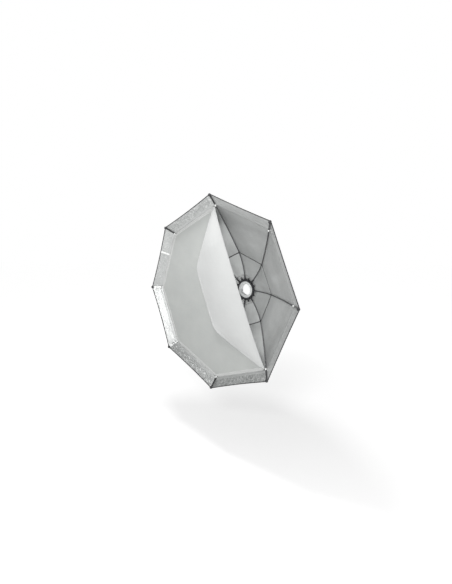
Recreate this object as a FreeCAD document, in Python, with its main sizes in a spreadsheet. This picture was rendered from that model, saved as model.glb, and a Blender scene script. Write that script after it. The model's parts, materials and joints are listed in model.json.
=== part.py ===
"""An octagonal studio softbox on a rotating speedring, as a parametric model.

The box faces -Y and is held from behind. The origin is the centre of the mount bore, on the rear face of the
mount insert, and +Y is the optical axis, pointing back at the lamp head. Azimuth 0 is +X and 90 is +Z.
Eight bowed rods run from sockets on the speedring to pockets in the rim's corners, inside a fabric shell with
a silver lining. Each of the shell's eight gores is an outer and an inner panel, sewn together along a ring
where the rods bend. A white front diffuser is recessed behind the rim. One side of it is a flap, cut off by a
straight crease just inside the line from the top corner to the lower right corner, and modelled folded over
onto the front of the diffuser.
"""

import FreeCAD, Part
import math
import os
import Sketcher

SIDES = 8
STEP = 360.0 / SIDES
HALF = math.radians(STEP / 2)

DIMENSIONS = {
    # the box as a whole
    "tip_radius": 740.0,
    "tip_depth": 466.0,
    # the bowed rods: slope of the rod against the radial direction, and the run between slopes
    "rod_radius": 3.5,
    "slope_rim": 42.7,
    "slope_outer": 36.5,
    "slope_seam": 28.5,
    "slope_socket": 12.0,
    "run_outer": 515.0,
    "run_seam": 60.0,
    "run_inner": 175.0,
    "run_socket": 42.0,
    # sleeves and loops round the rods
    "sleeve_bore": 3.8,
    "sleeve_radius": 5.2,
    "sleeve_length": 14.0,
    "pouch_length": 80.0,
    "pouch_lead": 2.0,
    "tab_start": 84.0,
    "cap_radius": 12.0,
    "cap_thick": 12.0,
    "cap_back": 463.0,
    # the fabric shell, its tapes and its rim
    "fabric_gap": 5.5,
    "fabric_thick": 1.5,
    "tape_gap": 0.3,
    "seam_tape_width": 12.0,
    "seam_tape_thick": 0.8,
    "loop_tape_width": 25.0,
    "loop_tape_thick": 1.0,
    "tape_end_gap": 9.0,
    "binding_radius": 3.0,
    "binding_end_gap": 15.0,
    "collar_outer": 126.0,
    "collar_depth": 36.5,
    "collar_lip": 3.0,
    # the diffuser
    "diffuser_depth": 406.0,
    "diffuser_apothem": 625.5,
    "diffuser_chamfer": 664.0,
    "diffuser_thick": 1.2,
    "hem_width": 25.0,
    "hem_thick": 2.4,
    "crease_shift": 10.0,
    "crease_gap": 0.6,
    "flap_gap": 0.3,
    # the speedring
    "bore_radius": 49.0,
    "insert_depth": 31.0,
    "insert_front_radius": 70.5,
    "insert_rear_radius": 71.0,
    "shoulder_radius": 76.0,
    "shoulder_front": 25.7,
    "shoulder_back": 6.5,
    "groove_radius": 73.0,
    "groove_width": 7.4,
    "notch_radius": 53.5,
    "notch_width": 20.0,
    "ring_radius": 90.0,
    "ring_front": 26.0,
    "ring_back": 3.0,
    "ring_chamfer": 1.0,
    "running_gap": 0.3,
    "cord_groove_radius": 88.6,
    "cord_groove_depth": 22.0,
    "cord_radius": 1.4,
    "retainer_thick": 3.0,
    "retainer_radius": 81.5,
    "screw_circle": 78.9,
    "screw_radius": 1.4,
    "screw_length": 6.0,
    "screw_head_radius": 2.6,
    "screw_head_height": 1.2,
    # rod sockets
    "socket_radius": 6.0,
    "socket_bore": 3.55,
    "socket_inner": 82.0,
    "socket_end_wall": 4.0,
    "socket_length": 46.0,
    "spare_length": 27.0,
    "foot_inner": 82.0,
    "foot_outer": 89.5,
    "foot_width": 14.0,
    "foot_height": 7.5,
    # locking screws
    "lock_depth": 11.5,
    "stud_radius": 2.9,
    "stud_hole_radius": 3.0,
    "stud_inner": 73.6,
    "stud_outer": 97.0,
    "washer_radius": 6.5,
    "washer_thick": 1.6,
    "washer_inner": 90.0,
    "knob_inner": 92.4,
    "knob_height": 14.0,
    "knob_radius": 10.5,
    "knob_lobe_radius": 3.2,
    "knob_lobe_circle": 9.0,
    "knob_lobe_start": 2.0,
}

LOCK_AZIMUTHS = {"a": STEP / 2, "b": 180 + STEP / 2}
CREASE_AZIMUTH = STEP / 2  # the flap lies on this side of the diffuser
SCREW_COUNT = 8
KNOB_LOBES = 6
NOTCH_COUNT = 3

doc = FreeCAD.newDocument("softbox")
sheet = doc.addObject("Spreadsheet::Sheet", "dims")
for row, (alias, value) in enumerate(DIMENSIONS.items(), start=1):
    sheet.set(f"A{row}", alias)
    sheet.set(f"B{row}", str(value))
    sheet.setAlias(f"B{row}", alias)
doc.recompute()

Vector = FreeCAD.Vector
Y_AXIS = Vector(0, 1, 0)
ORIGIN = Vector(0, 0, 0)
subparts = []


def dim(alias):
    """A driving dimension, read back from the spreadsheet."""
    return float(sheet.get(alias))


def subpart(obj, label):
    """Registers a document object as a sub-part: its label names its file."""
    obj.Label = label
    subparts.append(obj)
    return obj


# ---------------------------------------------------------------- placing

FACING_FRONT = FreeCAD.Rotation(Vector(1, 0, 0), 90)  # local +Z turned to -Y, local +Y to +Z


def azimuth_turn(degrees):
    """A turn about the optical axis that takes azimuth 0, the +X side, to the given azimuth."""
    return FreeCAD.Rotation(Y_AXIS, -degrees)


def around(degrees):
    return FreeCAD.Placement(ORIGIN, azimuth_turn(degrees))


def at_depth(obj, depth_expression):
    """Sets obj's local +Z along -Y, with its origin on the optical axis at a depth in front of the mount."""
    obj.Placement = FreeCAD.Placement(ORIGIN, FACING_FRONT)
    obj.setExpression("Placement.Base.y", f"-({depth_expression})")
    return obj


def copy_of(source, name, placement):
    """Another piece of the same shape, linked to its source."""
    piece = doc.addObject("Part::Compound", name)
    piece.Links = [source]
    piece.Placement = placement
    return piece


def ring_of_copies(source, label, first=0.0, count=SIDES):
    """Numbered sub-parts round the optical axis: 1 is at the top and they run clockwise from the front."""
    for number in range(1, count + 1):
        azimuth = 90 + first - (number - 1) * 360.0 / count
        subpart(copy_of(source, label, around(azimuth)), f"{label}_{number}")


def group_of_copies(source, label, first=0.0, count=SIDES):
    """One sub-part that holds identical separate solids round the optical axis."""
    turns = [around(first + n * 360.0 / count) for n in range(count)]
    pieces = [copy_of(source, f"{label}_item", turn) for turn in turns]
    group = doc.addObject("Part::Compound", label)
    group.Links = pieces
    return subpart(group, label)


# ---------------------------------------------------------------- primitives and booleans

def cylinder(name, radius, height):
    obj = doc.addObject("Part::Cylinder", name)
    obj.setExpression("Radius", radius)
    obj.setExpression("Height", height)
    return obj


def disc(name, radius, front, back):
    """A cylinder on the optical axis between two depths in front of the mount."""
    return at_depth(cylinder(name, radius, f"({front}) - ({back})"), back)


def cut(name, base, tool):
    obj = doc.addObject("Part::Cut", name)
    obj.Base, obj.Tool = base, tool
    return obj


def fuse(name, *shapes):
    obj = doc.addObject("Part::MultiFuse", name)
    obj.Shapes = list(shapes)
    return obj


def common(name, *shapes):
    obj = doc.addObject("Part::MultiCommon", name)
    obj.Shapes = list(shapes)
    return obj


def group_in_place(name, pieces):
    obj = doc.addObject("Part::Compound", name)
    obj.Links = pieces
    return obj


# ---------------------------------------------------------------- the rod's line

def arc_step(point, slope, next_slope, run):
    """The middle and end of an arc that starts at point and turns from one slope to the next over a run."""
    radius = run / math.radians(slope - next_slope)
    start = math.radians(slope)
    centre = (point[0] - radius * math.sin(start), point[1] - radius * math.cos(start))

    def on_arc(angle):
        a = math.radians(angle)
        return (centre[0] + radius * math.sin(a), centre[1] + radius * math.cos(a))

    return on_arc((slope + next_slope) / 2), on_arc(next_slope)


def rod_line():
    """Stations of the rod's centreline from tip to socket, as (radius, y, slope)."""
    slopes = [dim("slope_rim"), dim("slope_outer"), dim("slope_seam"), dim("slope_socket")]
    runs = [dim("run_outer"), dim("run_seam"), dim("run_inner")]
    stations = [(dim("tip_radius"), -dim("tip_depth"), slopes[0])]
    for slope, next_slope, run in zip(slopes, slopes[1:], runs):
        middle, end = arc_step(stations[-1][:2], slope, next_slope, run)
        stations.append((*middle, (slope + next_slope) / 2))
        stations.append((*end, next_slope))
    return stations


def along_rod(distance):
    """The point (radius, y) and slope at a distance from the tip, on the rod's first arc."""
    slope = dim("slope_rim")
    turn = (slope - dim("slope_outer")) * distance / dim("run_outer")
    _, point = arc_step((dim("tip_radius"), -dim("tip_depth")), slope, slope - turn, distance)
    return point, slope - turn


LINE = rod_line()
SEAM = LINE[3]  # the middle of the seam bend
SOCKET_MOUTH = LINE[-1]


def rod():
    """One rod at azimuth 0: a pipe along three tangent arcs and a straight tail."""
    body = doc.addObject("PartDesign::Body", "rod")
    plane = next(o for o in body.Origin.OriginFeatures if o.Role == "XY_Plane")
    path = body.newObject("Sketcher::SketchObject", "rod_path")
    path.AttachmentSupport = [(plane, "")]
    path.MapMode = "FlatFace"
    points = [Vector(r, y, 0) for r, y, _ in LINE]
    for n in (0, 2, 4):
        path.addGeometry(Part.Arc(points[n], points[n + 1], points[n + 2]), False)
    slope = math.radians(dim("slope_socket"))
    tail = Vector(-math.cos(slope), math.sin(slope), 0) * dim("run_socket")
    path.addGeometry(Part.LineSegment(points[6], points[6] + tail), False)
    doc.recompute()
    section = body.newObject("Sketcher::SketchObject", "rod_section")
    section.AttachmentSupport = [(path, "Edge4")]
    section.MapMode = "NormalToEdge"
    section.addGeometry(Part.Circle(ORIGIN, Vector(0, 0, 1), dim("rod_radius")), False)
    section.addConstraint(Sketcher.Constraint("Radius", 0, dim("rod_radius")))
    section.renameConstraint(0, "radius")
    section.addConstraint(Sketcher.Constraint("Coincident", 0, 3, -1, 1))
    section.setExpression("Constraints.radius", "dims.rod_radius")
    doc.recompute()
    pipe = body.newObject("PartDesign::AdditivePipe", "rod_pipe")
    pipe.Profile = section
    pipe.Spine = (path, ["Edge1", "Edge2", "Edge3", "Edge4"])
    doc.recompute()
    return body


def along_slope(obj, point, slope):
    """Turns obj's local +Z down the rod, towards the hub, from a point on its line at azimuth 0."""
    a = math.radians(slope)
    turn = FreeCAD.Rotation(Vector(0, 0, 1), Vector(-math.cos(a), math.sin(a), 0))
    obj.Placement = FreeCAD.Placement(Vector(point[0], point[1], 0), turn)
    return obj


def sleeve(name, point, slope, length):
    """A short fabric sleeve round the rod, starting at a point on its line."""
    outside = along_slope(cylinder(f"{name}_outside", "dims.sleeve_radius", length), point, slope)
    inside = along_slope(cylinder(f"{name}_inside", "dims.sleeve_bore", length), point, slope)
    return cut(name, outside, inside)


# ---------------------------------------------------------------- corner pockets

def corner_pocket():
    """A pouch over the end of a rod, closed by a round cap in the corner of the rim."""
    middle, slope = along_rod(dim("pouch_length") / 2)
    start = (
        middle[0] + math.cos(math.radians(slope)) * dim("pouch_length") / 2,
        middle[1] - math.sin(math.radians(slope)) * dim("pouch_length") / 2,
    )
    pouch = along_slope(cylinder("pouch", "dims.sleeve_radius", "dims.pouch_length"), start, slope)
    cap = at_depth(cylinder("cap", "dims.cap_radius", "dims.cap_thick"), "dims.cap_back")
    cap.setExpression("Placement.Base.x", "dims.tip_radius")
    rounded = doc.addObject("Part::Fillet", "cap_rounded")
    rounded.Base = cap
    doc.recompute()
    edge_radius = dim("cap_thick") / 4
    rounded.Edges = [(n + 1, edge_radius, edge_radius) for n, e in enumerate(cap.Shape.Edges) if e.Closed]
    whole = fuse("pocket_outside", pouch, rounded)
    lead = dim("pouch_lead")
    ahead, behind = -lead, dim("pouch_length") + 3 * lead
    points = [Vector(*along_rod_point(d), 0) for d in (ahead, (ahead + behind) / 2, behind)]
    path = Part.Wire([Part.Arc(*points).toShape()])
    start_tangent = path.Edges[0].tangentAt(path.Edges[0].FirstParameter)
    section = Part.Wire([Part.makeCircle(dim("sleeve_bore"), points[0], start_tangent)])
    channel = doc.addObject("Part::Feature", "pouch_channel")
    channel.Shape = path.makePipeShell([section], True, True)
    return cut("corner_pocket", whole, channel)


def along_rod_point(distance):
    """A point on the rod's first arc, or just ahead of the tip where the distance is negative."""
    if distance < 0:
        slope = math.radians(dim("slope_rim"))
        tip = LINE[0]
        return (tip[0] - math.cos(slope) * distance, tip[1] + math.sin(slope) * distance)
    return along_rod(distance)[0]


# ---------------------------------------------------------------- the fabric shell

def mid_plane(station, offset):
    """A rod station carried to the middle of a gore, then moved out from the fabric by an offset."""
    radius, y, slope = station
    squeezed = math.cos(HALF)
    a = math.atan2(math.sin(math.radians(slope)), math.cos(math.radians(slope)) * squeezed)
    return Vector(radius * squeezed + offset * math.sin(a), y + offset * math.cos(a), 0)


def gore_wedge(name):
    """A prism that holds one gore, between the planes of its two rods, with its middle at azimuth 0."""
    reach = dim("tip_radius") + dim("cap_radius")
    outline = doc.addObject("Sketcher::SketchObject", f"{name}_outline")
    outline.Placement = FreeCAD.Placement(ORIGIN, FACING_FRONT)
    corners = [ORIGIN, Vector(reach, -reach * math.tan(HALF), 0), Vector(reach, reach * math.tan(HALF), 0)]
    for n in range(3):
        outline.addGeometry(Part.LineSegment(corners[n], corners[(n + 1) % 3]), False)
    prism = doc.addObject("Part::Extrusion", name)
    prism.Base = outline
    prism.Dir = Vector(0, -1, 0)
    prism.DirMode = "Custom"
    prism.Solid = True
    prism.setExpression("LengthFwd", "dims.tip_depth + dims.cap_radius")
    return prism


def panel(name, stations, wedge):
    """One fabric panel of a gore: a bent band through the stations, cut to the wedge between two rods."""
    near = [mid_plane(s, dim("fabric_gap")) for s in stations]
    far = [mid_plane(s, dim("fabric_gap") + dim("fabric_thick")) for s in stations]
    band = doc.addObject("Sketcher::SketchObject", f"{name}_band")
    for side in (near, far):
        for n in range(0, len(side) - 1, 2):
            band.addGeometry(Part.Arc(side[n], side[n + 1], side[n + 2]), False)
    band.addGeometry(Part.LineSegment(near[0], far[0]), False)
    band.addGeometry(Part.LineSegment(near[-1], far[-1]), False)
    swept = doc.addObject("Part::Extrusion", f"{name}_swept")
    swept.Base = band
    swept.Dir = Vector(0, 0, 1)
    swept.DirMode = "Custom"
    swept.Solid = True
    swept.Symmetric = True
    swept.setExpression("LengthFwd", "2 * dims.tip_radius")
    return common(name, swept, wedge)


def part_way(start, end, share):
    """A station part of the way along the arc between two stations."""
    slope = start[2] + (end[2] - start[2]) * share
    chord = math.hypot(end[0] - start[0], end[1] - start[1])
    turn = math.radians(start[2] - end[2])
    run = chord * turn / (2 * math.sin(turn / 2))
    _, point = arc_step(start[:2], start[2], slope, run * share)
    return (*point, slope)


def tape(name, station, width, thick, end_gap):
    """A straight tape across one gore at azimuth 0, lying on the inside of the fabric."""
    front = dim("fabric_gap") - dim("tape_gap") - dim(thick)
    centre = mid_plane(station, front)
    normal = (mid_plane(station, front + 1) - centre).normalize()
    half_length = station[0] * math.sin(HALF) - dim(end_gap)
    strip = doc.addObject("Part::Box", name)
    strip.Length = 2 * half_length
    strip.setExpression("Width", f"dims.{width}")
    strip.setExpression("Height", f"dims.{thick}")
    along = normal.cross(Vector(0, 0, 1))
    turn = FreeCAD.Rotation(FreeCAD.Matrix(
        0, along.x, normal.x, 0,
        0, along.y, normal.y, 0,
        1, along.z, normal.z, 0,
        0, 0, 0, 1,
    ))
    start = centre - Vector(0, 0, 1) * half_length - along * dim(width) / 2
    strip.Placement = FreeCAD.Placement(start, turn)
    return strip


def rim_binding():
    """One straight length of the corded binding along the front edge of a gore at azimuth 0."""
    slope = LINE[0][2]
    a = math.atan2(math.sin(math.radians(slope)), math.cos(math.radians(slope)) * math.cos(HALF))
    ahead = dim("binding_radius") + dim("tape_gap")
    centre = mid_plane(LINE[0], dim("fabric_gap") + dim("fabric_thick") / 2)
    centre = centre + Vector(math.cos(a), -math.sin(a), 0) * ahead
    half_length = centre.x * math.tan(HALF) - dim("binding_end_gap")
    cord = cylinder("binding", "dims.binding_radius", f"{2 * half_length}")
    cord.Placement = FreeCAD.Placement(centre - Vector(0, 0, half_length), FreeCAD.Rotation())
    return cord


def rear_collar():
    """The fabric collar behind the sockets, down to the elastic cord that grips the speedring."""
    thick = dim("fabric_thick")
    inner = dim("ring_radius") + dim("running_gap")
    outline = [
        Vector(dim("collar_outer"), -dim("collar_depth"), 0),
        Vector(inner + thick, -dim("ring_front") + thick, 0),
        Vector(inner + thick, -dim("cord_groove_depth") + dim("collar_lip"), 0),
        Vector(inner, -dim("cord_groove_depth") + dim("collar_lip"), 0),
        Vector(inner, -dim("ring_front"), 0),
        Vector(dim("collar_outer"), -dim("collar_depth") - thick, 0),
    ]
    profile = doc.addObject("Sketcher::SketchObject", "collar_profile")
    for n, corner in enumerate(outline):
        profile.addGeometry(Part.LineSegment(corner, outline[(n + 1) % len(outline)]), False)
    collar = doc.addObject("Part::Revolution", "rear_collar")
    collar.Source = profile
    collar.Axis = Y_AXIS
    collar.Base = ORIGIN
    collar.Angle = 360
    collar.Solid = True
    return collar


# ---------------------------------------------------------------- the diffuser

def octagon(name, apothem, thick):
    """An octagonal plate in the diffuser's plane, with a corner straight up."""
    obj = doc.addObject("Part::Prism", name)
    obj.Polygon = SIDES
    obj.setExpression("Circumradius", f"({apothem}) / {math.cos(HALF)!r}")
    obj.setExpression("Height", thick)
    return at_depth(obj, f"dims.diffuser_depth - ({thick}) / 2")


def corner_cutter(name, thick):
    """The octagon turned half a side, which takes the corners off the plate where the rods pass."""
    obj = octagon(name, "dims.diffuser_chamfer", thick)
    obj.Placement = FreeCAD.Placement(obj.Placement.Base, azimuth_turn(STEP / 2) * FACING_FRONT)
    return obj


def half_space(name, side):
    """A block over everything on one side of the crease: side 1 is the flap's, side -1 the fixed panel's."""
    size = 2 * dim("tip_radius")
    block = doc.addObject("Part::Box", name)
    block.Length, block.Width, block.Height = size, size, size
    crease = crease_distance() + side * dim("crease_gap")
    corner = Vector(crease if side > 0 else crease - size, -size, -size / 2)
    turn = azimuth_turn(CREASE_AZIMUTH)
    block.Placement = FreeCAD.Placement(turn.multVec(corner), turn)
    return block


def crease_distance():
    """How far the crease passes from the axis: just inside the line between corners three sides apart."""
    return dim("diffuser_apothem") / math.cos(HALF) * math.cos(3 * HALF) - dim("crease_shift")


def fold_over():
    """The half turn about the crease that lays the closed flap on the front of the diffuser."""
    depth = dim("diffuser_depth") + dim("hem_thick") / 2 + dim("flap_gap")
    centre = azimuth_turn(CREASE_AZIMUTH).multVec(Vector(crease_distance(), 0, 0)) + Vector(0, -depth, 0)
    axis = azimuth_turn(CREASE_AZIMUTH).multVec(Vector(0, 0, 1))
    return FreeCAD.Placement(ORIGIN, FreeCAD.Rotation(axis, 180), centre)


def diffuser_pieces():
    """The fixed panel with its hem, and the flap with its hem, the flap folded over."""
    plate = common(
        "plate",
        octagon("plate_outline", "dims.diffuser_apothem - dims.hem_width", "dims.diffuser_thick"),
        corner_cutter("plate_corners", "dims.diffuser_thick"),
    )
    hem_outside = common(
        "hem_outside",
        octagon("hem_outline", "dims.diffuser_apothem", "dims.hem_thick"),
        corner_cutter("hem_corners", "dims.hem_thick"),
    )
    hem_hole = octagon("hem_hole", "dims.diffuser_apothem - dims.hem_width", "dims.hem_thick")
    hem = cut("hem", hem_outside, hem_hole)
    for label, source in (("diffuser_panel", plate), ("diffuser_hem", hem)):
        subpart(common(label, source, half_space(f"{label}_side", -1)), label)
    for label, source in (("flap_panel", plate), ("flap_hem", hem)):
        closed = common(f"{label}_closed", source, half_space(f"{label}_side", 1))
        subpart(copy_of(closed, label, fold_over()), label)


# ---------------------------------------------------------------- the speedring

def mount_insert():
    """The light alloy insert that takes the lamp head's bayonet, and turns inside the speedring."""
    front = disc("insert_front", "dims.insert_front_radius", "dims.insert_depth", "dims.shoulder_front")
    shoulder = disc("insert_shoulder", "dims.shoulder_radius", "dims.shoulder_front", "dims.shoulder_back")
    rear = disc("insert_rear", "dims.insert_rear_radius", "dims.shoulder_back", "0")
    solid = fuse("insert_solid", front, shoulder, rear)
    groove_front = "dims.lock_depth + dims.groove_width / 2"
    groove_back = "dims.lock_depth - dims.groove_width / 2"
    groove = cut(
        "insert_groove",
        disc("groove_outside", "dims.ring_radius", groove_front, groove_back),
        disc("groove_inside", "dims.groove_radius", groove_front, groove_back),
    )
    bore = disc("insert_bore", "dims.bore_radius", "dims.insert_depth", "0")
    notches = []
    for n in range(NOTCH_COUNT):
        notch = doc.addObject("Part::Box", "bayonet_notch")
        notch.setExpression("Length", "dims.notch_radius")
        notch.setExpression("Width", "dims.insert_depth")
        notch.setExpression("Height", "dims.notch_width")
        turn = azimuth_turn(90 + n * 360.0 / NOTCH_COUNT)
        corner = Vector(0, -dim("insert_depth"), -dim("notch_width") / 2)
        notch.Placement = FreeCAD.Placement(turn.multVec(corner), turn)
        notches.append(notch)
    tools = fuse("insert_tools", groove, bore, *notches)
    return subpart(cut("mount_insert", solid, tools), "mount_insert")


def padded_circle(body, name, radius, depth, length, feature):
    """A round Pad or Pocket of a body, from a plane at a depth in front of the mount and on towards -Y."""
    plane = next(o for o in body.Origin.OriginFeatures if o.Role == "XZ_Plane")
    circle = body.newObject("Sketcher::SketchObject", f"{name}_circle")
    circle.AttachmentSupport = [(plane, "")]
    circle.MapMode = "FlatFace"
    circle.setExpression("AttachmentOffset.Base.z", depth)
    circle.addGeometry(Part.Circle(ORIGIN, Vector(0, 0, 1), 10), False)
    circle.addConstraint(Sketcher.Constraint("Coincident", 0, 3, -1, 1))
    circle.addConstraint(Sketcher.Constraint("Radius", 0, 10))
    circle.renameConstraint(1, "radius")
    circle.setExpression("Constraints.radius", radius)
    made = body.newObject(f"PartDesign::{feature}", name)
    made.Profile = circle
    made.setExpression("Length", length)
    made.Reversed = feature == "Pocket"
    doc.recompute()
    return made


def speedring_body():
    """The cast ring under the sockets, with a seat for the insert and a groove for the collar's cord."""
    body = doc.addObject("PartDesign::Body", "speedring_casting")
    span = "dims.ring_front - dims.ring_back"
    padded_circle(body, "casting", "dims.ring_radius", "dims.ring_back", span, "Pad")
    padded_circle(
        body, "rear_opening", "dims.insert_rear_radius + dims.running_gap", "dims.ring_back", span, "Pocket"
    )
    seat = "dims.shoulder_back - dims.running_gap"
    seat_length = f"dims.ring_front - ({seat})"
    padded_circle(body, "insert_seat", "dims.shoulder_radius + dims.running_gap", seat, seat_length, "Pocket")
    seated = body.Tip
    edges = [f"Edge{n + 1}" for n, e in enumerate(seated.Shape.Edges) if is_outer_edge(e)]
    chamfer = body.newObject("PartDesign::Chamfer", "casting_chamfer")
    chamfer.Base = (seated, edges)
    chamfer.setExpression("Size", "dims.ring_chamfer")
    body.Tip = chamfer
    doc.recompute()
    cord_groove = doc.addObject("Part::Torus", "cord_groove")
    cord_groove.setExpression("Radius1", "dims.cord_groove_radius")
    cord_groove.setExpression("Radius2", "dims.cord_radius + dims.running_gap")
    at_depth(cord_groove, "dims.cord_groove_depth")
    inner, outer = dim("groove_radius"), dim("stud_outer")
    stud_holes = [
        radial_cylinder(f"stud_hole_{name}", "dims.stud_hole_radius", inner, outer, azimuth)
        for name, azimuth in LOCK_AZIMUTHS.items()
    ]
    screw_holes = [
        screw_cylinder("screw_hole", "dims.screw_radius", "dims.ring_front", "dims.screw_length", n)
        for n in range(SCREW_COUNT)
    ]
    bored = cut("ring_bored", body, fuse("ring_tools", cord_groove, *stud_holes))
    subpart(cut("ring_drilled", bored, fuse("screw_holes", *screw_holes)), "speedring_body")


def is_outer_edge(edge):
    """Whether an edge is one of the ring's two outermost circles."""
    if not edge.Closed or not hasattr(edge.Curve, "Radius"):
        return False
    return abs(edge.Curve.Radius - dim("ring_radius")) < 0.01


def radial_cylinder(name, radius, inner, outer, azimuth):
    """A cylinder along a radius of the speedring, at the depth of the locking screws."""
    obj = cylinder(name, radius, f"{outer - inner}")
    turn = azimuth_turn(azimuth)
    base = turn.multVec(Vector(inner, 0, 0)) + Vector(0, -dim("lock_depth"), 0)
    obj.Placement = FreeCAD.Placement(base, turn * FreeCAD.Rotation(Vector(0, 1, 0), 90))
    return obj


def screw_cylinder(name, radius, front, length, number):
    """A cylinder of a retaining screw, from its front depth back into the ring."""
    obj = cylinder(name, radius, length)
    at_depth(obj, f"{front} - {length}")
    azimuth = math.radians((number + 0.5) * 360.0 / SCREW_COUNT)
    obj.setExpression("Placement.Base.x", f"dims.screw_circle * {math.cos(azimuth)!r}")
    obj.setExpression("Placement.Base.z", f"dims.screw_circle * {math.sin(azimuth)!r}")
    return obj


# ---------------------------------------------------------------- sockets and locking screws

def rod_socket(name, length):
    """A socket at azimuth 0: a tube in line with the rod's tail, on a foot that stands on the ring."""
    slope = math.radians(dim("slope_socket"))
    mouth_radius = dim("socket_inner") + dim(length) * math.cos(slope)
    mouth = (mouth_radius, SOCKET_MOUTH[1] + (SOCKET_MOUTH[0] - mouth_radius) * math.tan(slope))
    tube = along_slope(cylinder("tube", "dims.socket_radius", f"dims.{length}"), mouth, dim("slope_socket"))
    hole = cylinder("tube_bore", "dims.socket_bore", f"dims.{length} - dims.socket_end_wall")
    bore = along_slope(hole, mouth, dim("slope_socket"))
    foot = doc.addObject("Part::Box", "foot")
    foot.setExpression("Length", "dims.foot_outer - dims.foot_inner")
    foot.setExpression("Width", "dims.foot_height")
    foot.setExpression("Height", "dims.foot_width")
    foot.Placement = FreeCAD.Placement(
        Vector(dim("foot_inner"), -dim("ring_front") - dim("foot_height"), -dim("foot_width") / 2),
        FreeCAD.Rotation(),
    )
    return cut(name, fuse("socket_solid", tube, foot), bore)


def lock_knob(name, azimuth):
    """The star grip, the stud it turns and the washer under it, on a radius of the ring."""
    grip_inner = dim("knob_inner")
    grip_outer = grip_inner + dim("knob_height")
    lobe_inner = grip_inner + dim("knob_lobe_start")
    core = radial_cylinder("grip_core", "dims.knob_radius", grip_inner, grip_outer, azimuth)
    stud_pocket = radial_cylinder("stud_pocket", "dims.stud_radius", grip_inner, dim("stud_outer"), azimuth)
    lobes = []
    for n in range(KNOB_LOBES):
        a = math.radians(n * 360.0 / KNOB_LOBES)
        lobe = radial_cylinder("grip_lobe", "dims.knob_lobe_radius", lobe_inner, grip_outer, azimuth)
        sideways = azimuth_turn(azimuth).multVec(Vector(0, math.cos(a), math.sin(a)))
        lobe.Placement = FreeCAD.Placement(
            lobe.Placement.Base + sideways * dim("knob_lobe_circle"), lobe.Placement.Rotation
        )
        lobes.append(lobe)
    subpart(cut("grip", fuse("grip_solid", core, *lobes), stud_pocket), f"lock_knob_{name}")
    stud = radial_cylinder("stud", "dims.stud_radius", dim("stud_inner"), dim("stud_outer"), azimuth)
    subpart(stud, f"lock_stud_{name}")
    washer_inner = dim("washer_inner")
    washer_outer = washer_inner + dim("washer_thick")
    plate = radial_cylinder("washer_plate", "dims.washer_radius", washer_inner, washer_outer, azimuth)
    hole = radial_cylinder("washer_hole", "dims.stud_hole_radius", washer_inner, washer_outer, azimuth)
    subpart(cut("washer", plate, hole), f"lock_washer_{name}")


def speedring():
    """Every piece of the speedring."""
    mount_insert()
    speedring_body()
    front = "dims.ring_front + dims.retainer_thick"
    retainer = cut(
        "retainer_disc",
        disc("retainer_outside", "dims.retainer_radius", front, "dims.ring_front"),
        disc("retainer_inside", "dims.insert_front_radius + dims.running_gap", front, "dims.ring_front"),
    )
    through = [
        screw_cylinder("clear_hole", "dims.screw_radius", front, "dims.retainer_thick", n)
        for n in range(SCREW_COUNT)
    ]
    subpart(cut("retainer", retainer, fuse("clear_holes", *through)), "retaining_ring")
    screws = []
    shank_length = "dims.screw_length + dims.retainer_thick"
    for n in range(SCREW_COUNT):
        shank = screw_cylinder("shank", "dims.screw_radius", front, shank_length, n)
        head_front = f"{front} + dims.screw_head_height"
        head = screw_cylinder("head", "dims.screw_head_radius", head_front, "dims.screw_head_height", n)
        screws.append(fuse("retaining_screw", shank, head))
    subpart(group_in_place("screws", screws), "retaining_screws")
    ring_of_copies(rod_socket("rod_socket", "socket_length"), "rod_socket")
    group_of_copies(rod_socket("spare_socket", "spare_length"), "spare_sockets", first=STEP / 2)
    for name, azimuth in LOCK_AZIMUTHS.items():
        lock_knob(name, azimuth)
    cord = doc.addObject("Part::Torus", "elastic")
    cord.setExpression("Radius1", "dims.cord_groove_radius")
    cord.setExpression("Radius2", "dims.cord_radius")
    subpart(at_depth(cord, "dims.cord_groove_depth"), "collar_cord")


def shell():
    """The fabric shell with its tapes, binding, loops and pockets."""
    wedge = gore_wedge("gore_wedge")
    outer_stations = [LINE[0], LINE[1], LINE[2], part_way(LINE[2], LINE[4], 0.25), SEAM]
    inner_stations = [SEAM, part_way(LINE[2], LINE[4], 0.75), LINE[4], LINE[5], LINE[6]]
    ring_of_copies(panel("outer_panel", outer_stations, wedge), "outer_panel", first=-STEP / 2)
    ring_of_copies(panel("inner_panel", inner_stations, wedge), "inner_panel", first=-STEP / 2)
    seam_tape = tape("seam_tape", SEAM, "seam_tape_width", "seam_tape_thick", "tape_end_gap")
    group_of_copies(seam_tape, "mid_seam_tape", first=STEP / 2)
    point, slope = along_rod(dim("pouch_length"))
    station = (*point, slope)
    loop_tape = tape("loop_tape", station, "loop_tape_width", "loop_tape_thick", "tape_end_gap")
    group_of_copies(loop_tape, "diffuser_loop_tape", first=STEP / 2)
    group_of_copies(rim_binding(), "rim_binding", first=STEP / 2)
    group_of_copies(corner_pocket(), "corner_pockets")
    keeper_slope = SEAM[2]
    back = dim("sleeve_length") / 2
    keeper_start = (
        SEAM[0] + back * math.cos(math.radians(keeper_slope)),
        SEAM[1] - back * math.sin(math.radians(keeper_slope)),
    )
    keeper = sleeve("keeper", keeper_start, keeper_slope, "dims.sleeve_length")
    group_of_copies(keeper, "rod_keeper_loops")
    tab_point, tab_slope = along_rod(dim("tab_start"))
    group_of_copies(sleeve("tab", tab_point, tab_slope, "dims.sleeve_length"), "diffuser_corner_tabs")
    subpart(rear_collar(), "rear_collar")


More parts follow.
